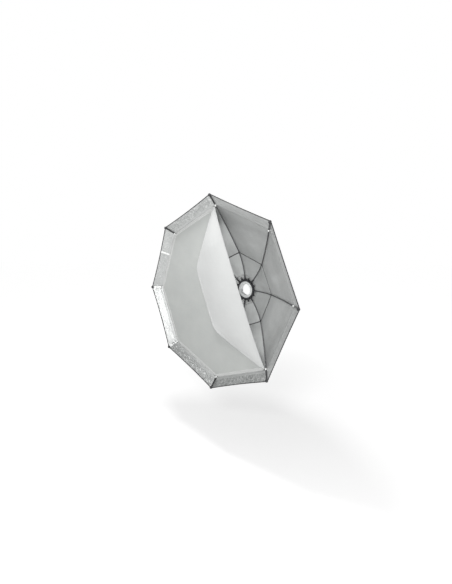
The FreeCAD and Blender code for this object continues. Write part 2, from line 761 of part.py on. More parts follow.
def check_and_export():
    """Stops on any failed object, then writes one STEP file for each sub-part."""
    doc.recompute()
    failed = [o.Label for o in doc.Objects if "Invalid" in o.State or "Error" in o.State]
    if failed:
        raise RuntimeError(f"failed objects: {failed}")
    os.makedirs("parts", exist_ok=True)
    for stale in os.listdir("parts"):
        os.remove(os.path.join("parts", stale))
    for obj in subparts:
        shape = obj.Shape
        if shape.isNull() or not shape.isValid() or not shape.Solids:
            raise RuntimeError(f"{obj.Label} has no valid solid")
        shape.exportStep(os.path.join("parts", f"{obj.Label}.step"))
        print(f"{obj.Label:24s} solids {len(shape.Solids)}  volume {shape.Volume:12.1f} mm3")
    print(f"{len(subparts)} sub-parts")


speedring()
ring_of_copies(rod(), "rod")
shell()
diffuser_pieces()
check_and_export()
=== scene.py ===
"""The looks of an octagonal studio softbox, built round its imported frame.

Metres, in the frame's own axes: the box faces -Y, +Z is up, and azimuths turn about Y, with 0 at +X and 90
at +Z. Gore n is the fabric between rods n and n + 1. A place on a gore is given by its run along the rods
from the rim, by across, which is 1 at rod n and -1 at the next, and by its lift outwards off the rods'
centreline.
"""

import json
import math

import bmesh
import bpy
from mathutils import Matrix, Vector, noise


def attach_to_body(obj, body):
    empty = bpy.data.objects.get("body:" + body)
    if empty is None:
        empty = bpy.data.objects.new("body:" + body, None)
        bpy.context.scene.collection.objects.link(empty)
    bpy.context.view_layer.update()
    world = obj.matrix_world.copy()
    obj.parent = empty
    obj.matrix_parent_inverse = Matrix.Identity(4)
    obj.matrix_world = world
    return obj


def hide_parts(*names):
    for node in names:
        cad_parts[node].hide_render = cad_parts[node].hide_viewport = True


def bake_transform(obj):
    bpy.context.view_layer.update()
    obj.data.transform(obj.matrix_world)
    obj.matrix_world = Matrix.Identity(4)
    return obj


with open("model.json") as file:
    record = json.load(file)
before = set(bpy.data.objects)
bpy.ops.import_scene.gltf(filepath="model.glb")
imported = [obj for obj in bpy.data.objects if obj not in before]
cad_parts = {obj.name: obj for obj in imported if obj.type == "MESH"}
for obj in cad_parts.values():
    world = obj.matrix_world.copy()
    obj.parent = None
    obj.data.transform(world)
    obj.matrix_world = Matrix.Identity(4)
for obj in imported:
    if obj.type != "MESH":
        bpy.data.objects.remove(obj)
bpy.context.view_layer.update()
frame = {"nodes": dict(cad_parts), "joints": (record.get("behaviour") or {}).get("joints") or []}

NODES = frame["nodes"]
SIDES = 8
STEP = 360.0 / SIDES
HALF = math.radians(STEP / 2)

# The rods' centreline: the tip's (radius, y), then arcs as (slope at start, slope at end, run), rim to hub
ROD_TIP = (0.740, -0.466)
ROD_ARCS = ((42.7, 36.5, 0.515), (36.5, 28.5, 0.060), (28.5, 12.0, 0.175))
SEAM_RUN = 0.545  # to the middle of the seam's bend
SHELL_RUN = 0.748  # to the shell's inner end

# The fabric shell
LINING_LIFT = 0.0055
CLOTH = 0.0012
GORE_EDGE = 0.9985  # how far across a panel goes, just short of its neighbour
RIM_SCALLOP = 0.006
OUTER_SAG = 0.007
INNER_SAG = 0.003
PUCKER_DEPTH = 0.0036
PUCKER_REACH = 0.10  # in from a rod, as a share of half the gore
PUCKER_RATE = 95  # radians a metre, which is a pucker every 66 mm
DRAPE_DEPTH = 0.0016
HALF_WIDTH_AT_RIM = 0.28
HALF_WIDTH_AT_LIP = 0.27

# The lip, which is the lining in front of the diffuser. It is creased where the fixed panel is stuck to it.
LIP_RUN = 0.088
LIP_FADE = 0.12  # the run where its creases end
CREASE_DEPTH = 0.0030
LIP_CREASES = {4: 0.9, 5: 0.75, 6: 0.03, 7: 0.4, 8: 0.7}  # gore: how creased its lip is, up to 1
OPEN_CREASES = 0.15  # on the other gores
# LEAST_CREASE also sets the least painted glint and shade that the lining's material puts on its creases.
LEAST_CREASE = 0.03  # in the material, beyond the lips

# Tapes across a gore: run along the rods, width, thickness, and how far across they go
SEAM_TAPE = {"run": SEAM_RUN, "width": 0.009, "thick": 0.0018, "end": 0.985}
LOOP_TAPE = {"run": 0.080, "width": 0.025, "thick": 0.0009, "end": 0.96}
# The seam allowance beside the middle seam is drawn on one gore only, in a pale tone: a painted highlight
# where the seam's fold catches the light.
SEAM_ALLOWANCE_HIGHLIT = {"run": SEAM_RUN + 0.0075, "width": 0.005, "thick": 0.0012, "end": 0.97}
HIGHLIT_SEAM_GORE = 2  # the gore whose seam allowance carries a painted highlight

# Loops round a rod: start, length and radius
KEEPER = {"run": SEAM_RUN - 0.007, "length": 0.014, "radius": 0.0046}
CORNER_TAB = {"run": 0.084, "length": 0.014, "radius": 0.0049}

CAP_Y = -0.463  # of the padded caps at the rim's corners
THREAD_RADIUS = 0.00045

# The diffuser
APOTHEM = 0.6255
CHAMFER = 0.664
HEM_WIDTH = 0.025
HEM_STITCHES = (0.004, 0.021)  # in from the edge
PANEL_Y = -0.4052
PANEL_THICK = 0.0010
PANEL_BILLOW = 0.011
PANEL_GATHER = 0.0012
PANEL_DRAPE = 0.0014
CREASE_STIFFNESS = 0.05  # how far from the crease the panel lies flat
CREASE_BOW = 0.018
FOLD_RADIUS = 0.002
FLAP_GAP = 0.0003
FLAP_BILLOW = 0.034
FULL_BILLOW_WIDTH = 0.30
FLAP_DRAPE = 0.0012
FLAP_EDGE_WAVE = 0.0016
CORNER_SOFTNESS = 0.045
CORNER_CURLS = ((-1, 0.014, 0.055), (1, 0.005, 0.070))  # (lower or upper corner, height, reach)
SIDE_NARROWING = 1.15  # how much narrower the shell is at its sides for each metre behind the panel
CORNER_NARROWING = 1.3

# The studio
FILL = 0.335  # the world's strength as a light
FLOOR_Z = -1.35
FLOOR_HALF_SIZE = 30.0
FLOOR_GLOW = (0.34, 0.68)  # near the box, and far off
FLOOR_FADE = (0.9, 3.2)  # metres off, between which the glow grows
KEY_POWER = 42
TOP_POWER = 25
THROUGH_POWER = 1.3
CAMERA_TARGET = Vector((0.088, -0.385, 0.029))
CAMERA_AZIMUTH = math.radians(41.35)
CAMERA_ELEVATION = math.radians(8.79)
CAMERA_DISTANCE = 2.310
CAMERA_LENS = 18.75


# ---------------------------------------------------------------- mesh helpers

def add_mesh(name, verts, faces, materials, face_materials=None, uvs=None, closed=True):
    """A mesh object, with an optional UV for each vertex, in metres; a closed one faces outwards."""
    mesh = bpy.data.meshes.new(name)
    mesh.from_pydata([tuple(v) for v in verts], [], faces)
    for material in materials:
        mesh.materials.append(material)
    if face_materials:
        mesh.polygons.foreach_set("material_index", face_materials)
    if uvs:
        layer = mesh.uv_layers.new(name="cut")
        for loop in mesh.loops:
            layer.data[loop.index].uv = uvs[loop.vertex_index]
    mesh.polygons.foreach_set("use_smooth", [True] * len(mesh.polygons))
    if closed:
        work = bmesh.new()
        work.from_mesh(mesh)
        bmesh.ops.recalc_face_normals(work, faces=work.faces)
        work.to_mesh(mesh)
        work.free()
    obj = bpy.data.objects.new(name, mesh)
    bpy.context.scene.collection.objects.link(obj)
    return obj


def sampled(firsts, seconds, sample):
    """Grids of what sample(first, second) gives: one grid for each thing in its tuple."""
    rows = [[sample(first, second) for second in seconds] for first in firsts]
    return [[[cell[k] for cell in row] for row in rows] for k in range(len(rows[0][0]))]


def slab(name, top, bottom, materials, uvs, lip=None):
    """A thin closed sheet between two grids of points: its top has the first material, the rest the last."""
    rows, columns = len(top), len(top[0])
    count = rows * columns
    verts = [point for row in top for point in row] + [point for row in bottom for point in row]
    faces = []
    slots = []
    for i in range(rows - 1):
        for j in range(columns - 1):
            a = i * columns + j
            quad = (a, a + 1, a + columns + 1, a + columns)
            faces.append(quad)
            slots.append(0)
            faces.append(tuple(count + v for v in reversed(quad)))
            slots.append(len(materials) - 1)
    rim = list(range(columns))
    rim += [i * columns + columns - 1 for i in range(1, rows)]
    rim += [(rows - 1) * columns + j for j in range(columns - 2, -1, -1)]
    rim += [i * columns for i in range(rows - 2, 0, -1)]
    for here, after in zip(rim, rim[1:] + rim[:1]):
        faces.append((after, here, here + count, after + count))
        slots.append(len(materials) - 1)
    obj = add_mesh(name, verts, faces, materials, slots, [uv for row in uvs for uv in row] * 2)
    if lip:
        layer = obj.data.attributes.new("lip", "FLOAT", "POINT")
        layer.data.foreach_set("value", [value for row in lip for value in row] * 2)
    return obj


def tube(name, path, radii, material, sides=12, flatten=1.0, up=Vector((0, 1, 0)), closed=False):
    """A tube along points, with a radius at each; flatten squeezes it across the up direction."""
    verts = []
    uvs = []
    length = 0.0
    for n, point in enumerate(path):
        before = path[n - 1] if n or closed else point
        after = path[(n + 1) % len(path)] if n + 1 < len(path) or closed else point
        along = (after - before).normalized()
        side = along.cross(up).normalized()
        over = side.cross(along).normalized()
        if n:
            length += (point - path[n - 1]).length
        for k in range(sides):
            a = 2 * math.pi * k / sides
            verts.append(point + radii[n] * (side * math.cos(a) + over * math.sin(a) * flatten))
            uvs.append((length, radii[n] * a))
    faces = []
    rings = len(path) if closed else len(path) - 1
    for n in range(rings):
        m = (n + 1) % len(path)
        for k in range(sides):
            j = (k + 1) % sides
            faces.append((n * sides + k, n * sides + j, m * sides + j, m * sides + k))
    if not closed:
        faces.append(tuple(range(sides - 1, -1, -1)))
        faces.append(tuple((len(path) - 1) * sides + k for k in range(sides)))
    return add_mesh(name, verts, faces, [material], uvs=uvs)


def lathe(name, profile, centre, axis, material, sides=32):
    """A turned piece: profile is (distance along the axis, radius) from end to end."""
    side = axis.orthogonal().normalized()
    over = axis.cross(side)
    verts = []
    for along, radius in profile:
        for k in range(sides):
            a = 2 * math.pi * k / sides
            verts.append(centre + axis * along + (side * math.cos(a) + over * math.sin(a)) * radius)
    faces = []
    for n in range(len(profile) - 1):
        for k in range(sides):
            j = (k + 1) % sides
            faces.append((n * sides + k, n * sides + j, (n + 1) * sides + j, (n + 1) * sides + k))
    faces.append(tuple(range(sides)))
    faces.append(tuple((len(profile) - 1) * sides + k for k in range(sides - 1, -1, -1)))
    return add_mesh(name, verts, faces, [material])


def attach(obj, body):
    """Gives a piece the body that it moves with."""
    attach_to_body(obj, body)
    return obj


def stitch_row(name, path, ups, material, body, pitch=0.0045):
    """A row of sewn stitches along points on a surface, each raised along its up direction."""
    half_length = 0.32 * pitch
    verts = []
    faces = []
    walked = 0.0
    due = pitch / 2
    for start, end, up in zip(path, path[1:], ups):
        length = (end - start).length
        along = (end - start) / length
        side = along.cross(up).normalized()
        while due <= walked + length:
            centre = start + along * (due - walked)
            first = len(verts)
            verts += [centre - along * half_length, centre + along * half_length]
            verts += [centre + side * THREAD_RADIUS, centre + up * THREAD_RADIUS]
            verts += [centre - side * THREAD_RADIUS, centre - up * THREAD_RADIUS]
            for k in range(4):
                here = first + 2 + k
                after = first + 2 + (k + 1) % 4
                faces += [(first, here, after), (first + 1, after, here)]
            due += pitch
        walked += length
    attach(add_mesh(name, verts, faces, [material]), body)


def spaced(first, last, count):
    return [first + (last - first) * n / (count - 1) for n in range(count)]


def ripple(point, scale, seed=0.0):
    """Smooth noise from -1 to 1 at a point; scale is in waves per metre."""
    return noise.noise(Vector(point) * scale + Vector((seed, seed * 1.7, seed * 0.3)))


def clamp(value):
    return min(1.0, max(0.0, value))


# ---------------------------------------------------------------- materials

def shader_nodes(name):
    material = bpy.data.materials.new(name)
    material.use_nodes = True
    nodes = material.node_tree.nodes
    return material, nodes, material.node_tree.links, nodes["Principled BSDF"]


def texture(nodes, links, vector, kind, scale, **settings):
    """A noise, Voronoi or wave texture on a vector output."""
    node = nodes.new(f"ShaderNodeTex{kind}")
    node.inputs["Scale"].default_value = scale
    for key, value in settings.items():
        if key in node.inputs:
            node.inputs[key].default_value = value
        else:
            setattr(node, key, value)
    links.new(vector, node.inputs["Vector"])
    return node


def ramp(nodes, links, value, stops):
    """A colour ramp over a value: stops are (position, colour)."""
    node = nodes.new("ShaderNodeValToRGB")
    elements = node.color_ramp.elements
    while len(elements) < len(stops):
        elements.new(0.5)
    for element, (position, colour) in zip(elements, stops):
        element.position = position
        element.color = (*colour, 1.0)
    links.new(value, node.inputs["Fac"])
    return node.outputs["Color"]


def bump(nodes, links, height, strength, distance, before=None):
    node = nodes.new("ShaderNodeBump")
    node.inputs["Strength"].default_value = strength
    node.inputs["Distance"].default_value = distance
    links.new(height, node.inputs["Height"])
    if before:
        links.new(before, node.inputs["Normal"])
    return node.outputs["Normal"]


def maths(nodes, links, operation, first, second):
    node = nodes.new("ShaderNodeMath")
    node.operation = operation
    for socket, value in zip(node.inputs, (first, second)):
        if isinstance(value, (int, float)):
            socket.default_value = value
        else:
            links.new(value, socket)
    return node.outputs["Value"]


def coordinates(nodes, kind):
    return nodes.new("ShaderNodeTexCoord").outputs[kind]


def weave(nodes, links, vector, pitch):
    """The height of a plain weave: two wave patterns across each other."""
    heights = []
    for direction in ("X", "Y"):
        settings = {"bands_direction": direction, "Distortion": 0.4}
        heights.append(texture(nodes, links, vector, "Wave", scale=1 / pitch, **settings).outputs["Fac"])
    return maths(nodes, links, "MULTIPLY", *heights)


def painted_crease_glints(nodes, links, cut, tone, amount):
    """A lining's tone, with painted highlights as glints on its creases and painted shade between them, by an
    amount.
    """
    marks = texture(nodes, links, cut, "Noise", scale=62.0, Detail=3.0, Roughness=0.62, Distortion=1.6)
    glints_and_shade = ramp(nodes, links, marks.outputs["Fac"], [
        (0.36, (0.23, 0.24, 0.235)), (0.50, (0.36, 0.37, 0.365)), (0.64, (0.64, 0.65, 0.645)),
    ])
    blend = nodes.new("ShaderNodeMix")
    blend.data_type = "RGBA"
    colours = [socket for socket in blend.inputs if socket.type == "RGBA"]
    links.new(amount, blend.inputs["Factor"])
    links.new(tone, colours[0])
    links.new(glints_and_shade, colours[1])
    return next(socket for socket in blend.outputs if socket.type == "RGBA")


def fabric(name, dark, light, roughness, metallic=0.0, sheen=0.0, pitch=0.0016, patch=9.0, crinkle=0.0):
    """A woven cloth: two tones in soft patches, a weave, and creases as strong as its lip attribute says,
    with painted glints and painted shade on them.
    """
    material, nodes, links, shader = shader_nodes(name)
    cut = coordinates(nodes, "UV")
    patches = texture(nodes, links, cut, "Noise", scale=patch, Detail=5.0, Roughness=0.6)
    tone = ramp(nodes, links, patches.outputs["Fac"], [(0.3, dark), (0.7, light)])
    normal = bump(nodes, links, weave(nodes, links, cut, pitch), strength=0.25, distance=0.0003)
    soft = texture(nodes, links, cut, "Noise", scale=22.0, Detail=3.0)
    normal = bump(nodes, links, soft.outputs["Fac"], strength=0.35, distance=0.004, before=normal)
    if crinkle:
        lip = nodes.new("ShaderNodeAttribute")
        lip.attribute_name = "lip"
        cells = texture(nodes, links, cut, "Voronoi", scale=42.0, feature="DISTANCE_TO_EDGE")
        fine = texture(nodes, links, cut, "Noise", scale=60.0, Detail=4.0, Roughness=0.6, Distortion=1.2)
        height = maths(nodes, links, "ADD", cells.outputs["Distance"], fine.outputs["Fac"])
        height = maths(nodes, links, "MULTIPLY", height, lip.outputs["Fac"])
        normal = bump(nodes, links, height, strength=crinkle, distance=0.006, before=normal)
        # The creases' glints and the shade between them are painted into the base colour, as strong as the
        # lip attribute.
        tone = painted_crease_glints(nodes, links, cut, tone, lip.outputs["Fac"])
    links.new(tone, shader.inputs["Base Color"])
    links.new(normal, shader.inputs["Normal"])
    shader.inputs["Roughness"].default_value = roughness
    shader.inputs["Metallic"].default_value = metallic
    shader.inputs["Sheen Weight"].default_value = sheen
    return material


def metal(name, dark, light, roughness, ring_pitch=0.0, metallic=1.0):
    """A machined or coated metal: smudged tone and roughness, and turning marks round Y if it has a pitch."""
    material, nodes, links, shader = shader_nodes(name)
    place = coordinates(nodes, "Object")
    smudge = texture(nodes, links, place, "Noise", scale=40.0, Detail=6.0, Roughness=0.65).outputs["Fac"]
    links.new(ramp(nodes, links, smudge, [(0.3, dark), (0.7, light)]), shader.inputs["Base Color"])
    spread = maths(nodes, links, "MULTIPLY", smudge, 0.25)
    links.new(maths(nodes, links, "ADD", spread, roughness), shader.inputs["Roughness"])
    grain = texture(nodes, links, place, "Noise", scale=900.0, Detail=2.0)
    normal = bump(nodes, links, grain.outputs["Fac"], strength=0.12, distance=0.0004)
    if ring_pitch:
        turned = {"wave_type": "RINGS", "rings_direction": "Y"}
        rings = texture(nodes, links, place, "Wave", scale=1 / ring_pitch, **turned)
        normal = bump(nodes, links, rings.outputs["Fac"], strength=0.3, distance=0.0002, before=normal)
    links.new(normal, shader.inputs["Normal"])
    shader.inputs["Metallic"].default_value = metallic
    return material


def plain(name, colour, roughness):
    """A moulded plastic, a thread or webbing: one tone, broken up by fine grain."""
    material, nodes, links, shader = shader_nodes(name)
    place = coordinates(nodes, "Object")
    grain = texture(nodes, links, place, "Noise", scale=350.0, Detail=4.0).outputs["Fac"]
    lighter = tuple(min(1.0, c * 1.5 + 0.01) for c in colour)
    links.new(ramp(nodes, links, grain, [(0.35, colour), (0.75, lighter)]), shader.inputs["Base Color"])
    links.new(bump(nodes, links, grain, strength=0.3, distance=0.0008), shader.inputs["Normal"])
    shader.inputs["Roughness"].default_value = roughness
    return material


SILVER = fabric(
    "silver_lining", (0.475, 0.485, 0.48), (0.555, 0.565, 0.56), 0.38, metallic=0.60, sheen=0.1, crinkle=0.60
)
NYLON = fabric("black_nylon", (0.012, 0.012, 0.014), (0.028, 0.028, 0.031), 0.62, sheen=0.35)
# The diffuser is one white cloth in painted tones: the fixed panel is darkened as painted shade from the dark
# box behind its single layer, and the flap, where the cloth lies doubled, and the hems, of folded cloth, are
# painted lighter.
PANEL_CLOTH = fabric(
    "diffuser_cloth", (0.385, 0.398, 0.389), (0.428, 0.441, 0.428), 0.8, sheen=0.1, patch=4.0
)
FLAP_CLOTH = fabric(
    "flap_cloth_painted_lighter", (0.50, 0.508, 0.504), (0.535, 0.543, 0.539), 0.8, sheen=0.1, patch=4.0
)
HEM_CLOTH = fabric("hem_cloth", (0.465, 0.473, 0.465), (0.515, 0.523, 0.515), 0.8, sheen=0.1)
FLAP_HEM_CLOTH = fabric("flap_hem_cloth", (0.50, 0.508, 0.504), (0.545, 0.553, 0.549), 0.8, sheen=0.1)
LOOP_CLOTH = fabric(
    "loop_tape", (0.43, 0.44, 0.435), (0.50, 0.51, 0.505), 0.45, metallic=0.55, pitch=0.0011
)
BINDING = plain("binding", (0.012, 0.012, 0.013), 0.55)
SEAM = plain("seam_binding", (0.045, 0.045, 0.047), 0.6)
# A painted highlight: a pale tone for the seam's fold where it catches the light.
PAINTED_SEAM_HIGHLIGHT = plain("painted_seam_highlight", (0.42, 0.43, 0.43), 0.6)
WEBBING = plain("white_webbing", (0.72, 0.73, 0.72), 0.7)
WHITE_THREAD = plain("white_thread", (0.66, 0.67, 0.66), 0.6)
GREY_THREAD = plain("grey_thread", (0.22, 0.22, 0.225), 0.5)
GRIP = plain("grip_plastic", (0.02, 0.02, 0.022), 0.45)
ROD = metal("rod_coating", (0.09, 0.09, 0.095), (0.15, 0.15, 0.155), 0.35, metallic=0.6)
INSERT = metal("insert_alloy", (0.58, 0.59, 0.59), (0.70, 0.71, 0.71), 0.34, ring_pitch=0.0014, metallic=0.3)
CASTING = metal("ring_coating", (0.03, 0.03, 0.033), (0.065, 0.065, 0.07), 0.4, metallic=0.5)
PLATED = metal("plated_screws", (0.40, 0.40, 0.42), (0.58, 0.58, 0.6), 0.25)


# ---------------------------------------------------------------- the rods' line and the shell's surface

def rod_azimuth(number):
    return 90 - (number - 1) * STEP


def gore_azimuth(number):
    return rod_azimuth(number) - STEP / 2


def rod_station(run):
    """(radius, y, slope) on the rods' centreline at a run from the tip."""
    radius, y = ROD_TIP
    slope = math.radians(ROD_ARCS[0][0])
    for first, last, length in ROD_ARCS:
        first, last = math.radians(first), math.radians(last)
        bend = length / (first - last)
        slope = first - min(run, length) / bend
        radius -= bend * (math.sin(first) - math.sin(slope))
        y += bend * (math.cos(slope) - math.cos(first))
        run -= length
        if run <= 0:
            break
    return radius, y, slope


def around(azimuth, radial, y, lateral=0.0):
    """A point from its distance along an azimuth, its y, and its distance across that azimuth."""
    a = math.radians(azimuth)
    return Vector((
        radial * math.cos(a) - lateral * math.sin(a),
        y,
        radial * math.sin(a) + lateral * math.cos(a),
    ))


def rod_point(azimuth, run, lift=0.0, lateral=0.0):
    """A point on a rod's centreline, or lifted off it outwards in the rod's own plane, or beside it."""
    radius, y, slope = rod_station(run)
    return around(azimuth, radius + lift * math.sin(slope), y + lift * math.cos(slope), lateral)


def gore_tilt(slope):
    """The slope of a gore's middle, which is flatter than its rods."""
    return math.atan2(math.sin(slope), math.cos(slope) * math.cos(HALF))


def shell_point(azimuth, run, across, lift):
    """A point on the gore at an azimuth."""
    radius, y, slope = rod_station(run)
    tilt = gore_tilt(slope)
    radial = radius * math.cos(HALF) + lift * math.sin(tilt)
    return around(azimuth, radial, y + lift * math.cos(tilt), across * radial * math.tan(HALF))


def outward(azimuth, run, across, lift):
    """The direction out of the shell at a place on a gore."""
    step = 0.01
    here = shell_point(azimuth, run, across, lift)
    return (shell_point(azimuth, run, across, lift + step) - here).normalized()


def tension(run, across, first, last, sag):
    """How far the cloth is pulled in from the flat gore between its rods and its two end seams."""
    return sag * math.sin(math.pi * clamp((run - first) / (last - first))) * (1 - across * across)


def lip_weight(number, run):
    """How creased the lining is: most along the lips that the fixed panel is stuck to."""
    return LIP_CREASES.get(number, OPEN_CREASES) * clamp(1 - (run - LIP_RUN) / (LIP_FADE - LIP_RUN))


def crumple(number, run, across):
    """The lining's sharp little creases, from 0 up: coarse ones along the lip, and fine ones over them."""
    x, y = across * HALF_WIDTH_AT_RIM + number * 2.1, run
    warp = 0.012 * ripple((x, y, 0), 25.0, 4.0)
    coarse = abs(ripple((x + warp, 0.45 * y - warp, 0), 46.0))
    fine = abs(ripple((x, 0.7 * y + warp, 1), 90.0, 2.0))
    return (coarse + 0.45 * fine) * clamp(run / 0.012)


def lining_lift(number, run, across):
    """The lining's height off the rods' line, with its sag, puckers beside the rods, and creased lip."""
    if run < SEAM_RUN:
        sag = tension(run, across, LIP_RUN, SEAM_RUN, OUTER_SAG)
    else:
        sag = tension(run, across, SEAM_RUN, SHELL_RUN, INNER_SAG)
    edge = 1 - across * across
    beside_rod = math.exp(-(((1 - abs(across)) / PUCKER_REACH) ** 2))
    pucker = PUCKER_DEPTH * edge * beside_rod * math.sin(run * PUCKER_RATE + number)
    drape = DRAPE_DEPTH * edge * ripple((across * 0.3, run, number * 1.31), 7.0, 3.0)
    creases = CREASE_DEPTH * lip_weight(number, run) * edge * crumple(number, run, across)
    return LINING_LIFT - sag + pucker + drape * clamp(run / LIP_FADE) - creases


def scallop(run, across):
    """How far the cloth is drawn in along the gore by the tension in its rim."""
    return RIM_SCALLOP * (1 - across * across) * clamp(1 - run / LIP_FADE)


# ---------------------------------------------------------------- the fabric shell

def gore_panel(number, inner):
    """One panel of a gore, silver inside and black outside."""
    azimuth = gore_azimuth(number)
    if inner:
        kind = "inner"
        runs = spaced(SEAM_RUN, SHELL_RUN, 26)
        places = spaced(-GORE_EDGE, GORE_EDGE, 41)
    else:
        kind = "outer"
        runs = spaced(0.0, LIP_FADE, 43)[:-1] + spaced(LIP_FADE, SEAM_RUN, 46)
        places = spaced(-GORE_EDGE, GORE_EDGE, 141)

    def sample(run, across):
        pulled = run if inner else run + scallop(run, across)
        lift = lining_lift(number, pulled, across)
        return (
            shell_point(azimuth, pulled, across, lift),
            shell_point(azimuth, pulled, across, lift + CLOTH),
            (across * rod_station(run)[0] * math.sin(HALF) + number, run),
            max(LEAST_CREASE, lip_weight(number, run)),
        )

    # lip sets both the crease bump and the painted glints and shade in the lining's material.
    top, bottom, uvs, lip = sampled(runs, places, sample)
    obj = slab(f"{kind}_cloth_{number}", top, bottom, [SILVER, NYLON], uvs, lip)
    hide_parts(f"{kind}_panel_{number}")
    attach(obj, "box")
    wide = 2 * rod_station(runs[0])[0] * math.sin(HALF)
    narrow = 2 * rod_station(runs[-1])[0] * math.sin(HALF)


def tape_on_shell(name, number, material, slot, run, width, thick, end):
    """A tape across a gore, sewn to its lining, and thinner at its two edges."""
    azimuth = gore_azimuth(number)

    def sample(across, offset):
        here = run + offset + scallop(run + offset, across)
        lift = lining_lift(number, here, across)
        crown = thick * (1 - 0.5 * (2 * offset / width) ** 2)
        return (
            shell_point(azimuth, here, across, lift - crown),
            shell_point(azimuth, here, across, lift + CLOTH / 2),
            (across * HALF_WIDTH_AT_RIM, offset),
        )

    top, bottom, uvs = sampled(spaced(-end, end, 141), spaced(-width / 2, width / 2, 9), sample)
    return attach(slab(name, top, bottom, [material], uvs), "box")


def lip_tab(number, centre):
    """A webbing tab across a lip, from the rim to the tape that holds the diffuser."""
    azimuth = gore_azimuth(number)
    first, last = 0.002, 0.086
    half_width = 0.007
    proud, sunk = 0.0024, 0.0004

    def sample(run, lateral):
        across = centre + lateral / HALF_WIDTH_AT_LIP
        place = run + scallop(run, across)
        lift = lining_lift(number, place, across)
        return (
            shell_point(azimuth, place, across, lift - proud),
            shell_point(azimuth, place, across, lift - sunk),
            (lateral, run),
        )

    top, bottom, uvs = sampled(spaced(first, last, 43), spaced(-half_width, half_width, 7), sample)
    attach(slab(f"lip_tab_{number}", top, bottom, [WEBBING], uvs), "box")


def lip_eyelet(number, across, run):
    """A pressed metal eyelet in a lip."""
    azimuth = gore_azimuth(number)
    ring_radius = 0.0055
    wire_radius = 0.0022
    lift = lining_lift(number, run, across) - 0.0012
    turns = 24
    path = []
    for turn in range(turns):
        a = 2 * math.pi * turn / turns
        place = across + ring_radius * math.cos(a) / HALF_WIDTH_AT_LIP
        path.append(shell_point(azimuth, run + ring_radius * math.sin(a), place, lift))
    out = outward(azimuth, run, across, 0)
    radii = [wire_radius] * turns
    obj = tube(f"lip_eyelet_{number}", path, radii, PLATED, flatten=0.7, up=out, closed=True)
    attach(obj, "box")


def corner_strap(number):
    """A webbing strap sewn over a corner pouch, and cupped round it."""
    azimuth = rod_azimuth(number)
    first, last = 0.013, 0.080
    half_width = 0.009
    half_thick = 0.0006
    crown, cup, wave = -0.0068, 0.0086, 0.0003

    def sample(run, lateral):
        rise = crown + cup * (lateral / half_width) ** 2 + wave * math.sin(run * 300)
        return (
            rod_point(azimuth, run, rise - half_thick, lateral),
            rod_point(azimuth, run, rise + half_thick, lateral),
            (lateral, run),
        )

    top, bottom, uvs = sampled(spaced(first, last, 35), spaced(-half_width, half_width, 11), sample)
    attach(slab(f"corner_strap_{number}", top, bottom, [WEBBING], uvs), "box")


def strap_loop(number):
    """The plastic loop on a corner strap."""
    azimuth = rod_azimuth(number)
    run, half_length, half_width = 0.052, 0.010, 0.011
    wire_radius = 0.0014
    turns = 28
    path = []
    for turn in range(turns):
        a = 2 * math.pi * turn / turns
        lift = -0.0088 + 0.0030 * math.cos(a) ** 2
        path.append(rod_point(azimuth, run + half_length * math.sin(a), lift, half_width * math.cos(a)))
    ring = tube(f"strap_loop_{number}", path, [wire_radius] * turns, GRIP, closed=True)
    attach(ring, "box")


def rim_binding(number):
    """The corded binding along one side of the rim, from cap to cap."""
    azimuth = gore_azimuth(number)
    end, overhang, radius, unevenness = 0.965, 0.0025, 0.0030, 0.0002
    path = []
    for across in spaced(-end, end, 41):
        pulled = -overhang + RIM_SCALLOP * (1 - across * across)
        path.append(shell_point(azimuth, pulled, across, LINING_LIFT + CLOTH / 2))
    radii = [radius + unevenness * ripple(point, 40.0) for point in path]
    return attach(tube(f"rim_binding_{number}", path, radii, BINDING), "box")


def ridge_seam(number):
    """The bound seam outside, over each rod, where two gores are sewn together."""
    azimuth = rod_azimuth(number)
    radius, proud = 0.0034, 0.0006
    path = []
    for run in spaced(0.012, SHELL_RUN - 0.004, 60):
        slope = rod_station(run)[2]
        ridge = (LINING_LIFT + CLOTH) * math.sin(slope) / (math.sin(gore_tilt(slope)) * math.cos(HALF))
        path.append(rod_point(azimuth, run, ridge + proud))
    obj = tube(f"ridge_seam_{number}", path, [radius] * len(path), BINDING, flatten=0.55)
    attach(obj, "box")


def shell_stitches(number):
    """The sewing along a gore's rim, inside, and beside its two ridges, outside."""
    azimuth = gore_azimuth(number)
    rim_inset, ridge_inset = 0.007, 0.009
    path = []
    ups = []
    for across in spaced(-0.95, 0.95, 81):
        run = rim_inset + scallop(rim_inset, across)
        lift = lining_lift(number, run, across)
        path.append(shell_point(azimuth, run, across, lift))
        ups.append(-outward(azimuth, run, across, lift))
    stitch_row(f"rim_stitches_{number}", path, ups, GREY_THREAD, "box")
    for side, name in ((-1, "left"), (1, "right")):
        path = []
        ups = []
        for run in spaced(0.02, SHELL_RUN - 0.02, 90):
            across = side * (1 - ridge_inset / (rod_station(run)[0] * math.sin(HALF)))
            lift = lining_lift(number, run, across) + CLOTH
            path.append(shell_point(azimuth, run, across, lift))
            ups.append(outward(azimuth, run, across, lift))
        name = f"ridge_stitches_{number}_{name}"
        stitch_row(name, path, ups, GREY_THREAD, "box", pitch=0.006)


